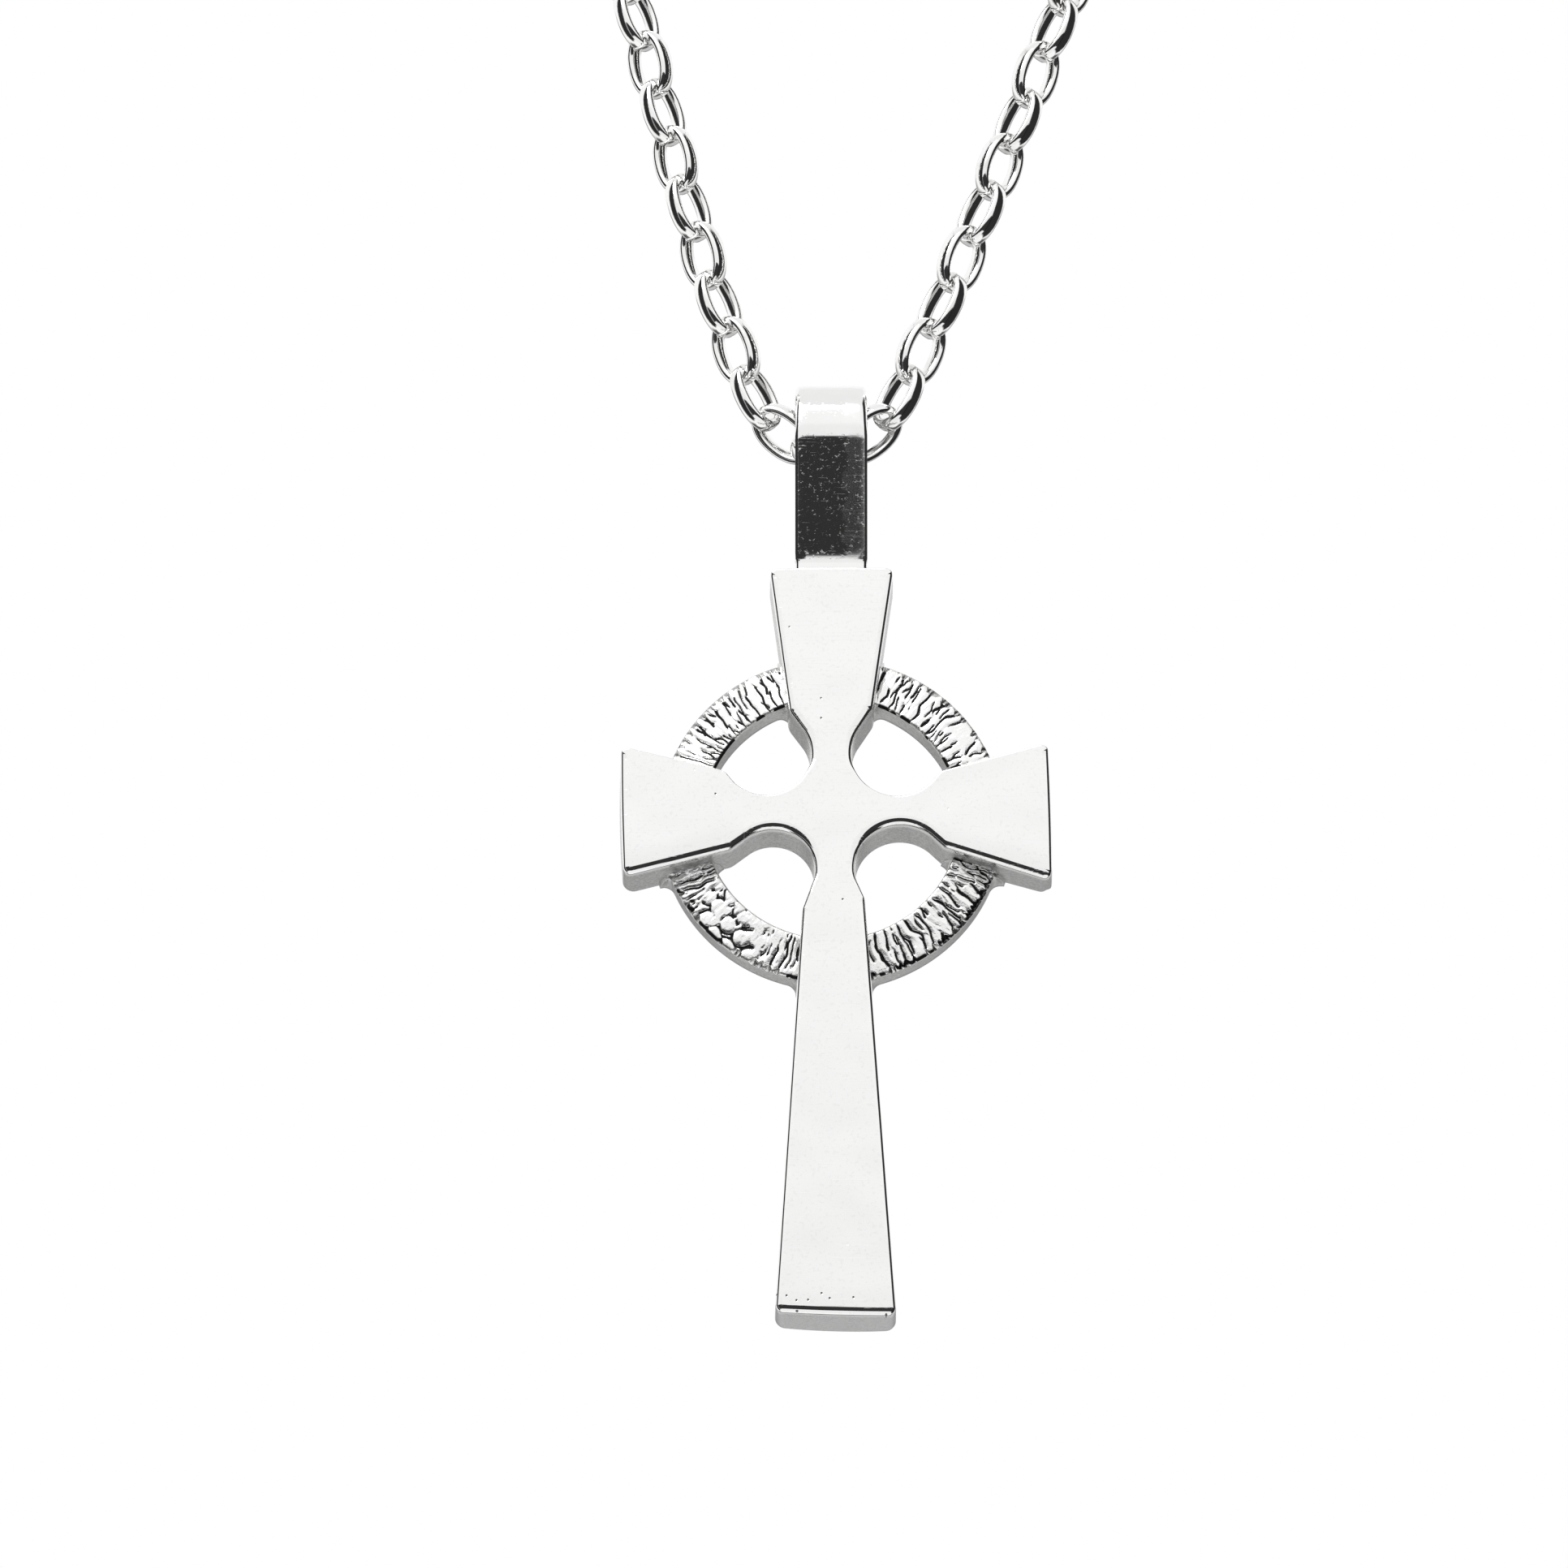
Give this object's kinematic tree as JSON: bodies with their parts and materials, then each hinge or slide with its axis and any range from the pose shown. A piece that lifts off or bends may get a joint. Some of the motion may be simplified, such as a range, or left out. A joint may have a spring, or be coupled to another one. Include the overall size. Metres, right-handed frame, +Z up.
{
  "type": "celtic cross pendant necklace",
  "caption": "Flat silver cross with flared arms and a bark-textured ring, on a strap bail, hung on a closed oval-link chain with a bolt-ring clasp.",
  "frame": {"origin": "middle of the clasp at the nape, where the closed chain sits on the back of the neck", "axes": "+Z up, -Y towards the front, the way the face of the cross looks, +X to the right as seen from the front"},
  "size_m": [0.0977, 0.1012, 0.169],
  "materials": {
    "polished_silver": "mirror-polished sterling silver with satin cast walls and a bright bark-textured ring",
    "chain_silver": "polished sterling silver flat wire",
    "clasp_silver": "polished sterling silver"
  },
  "bodies": {
    "necklace": {"chain": "chain_silver", "clasp": "clasp_silver"},
    "pendant": {"cross_pendant": "polished_silver"}
  },
  "joints": [
    {"name": "pendant_swing", "type": "hinge", "parent": "necklace", "child": "pendant", "pos_m": [0, -0.096, -0.1285], "axis": [1, 0, 0], "range_deg": [-90, 90]}
  ]
}
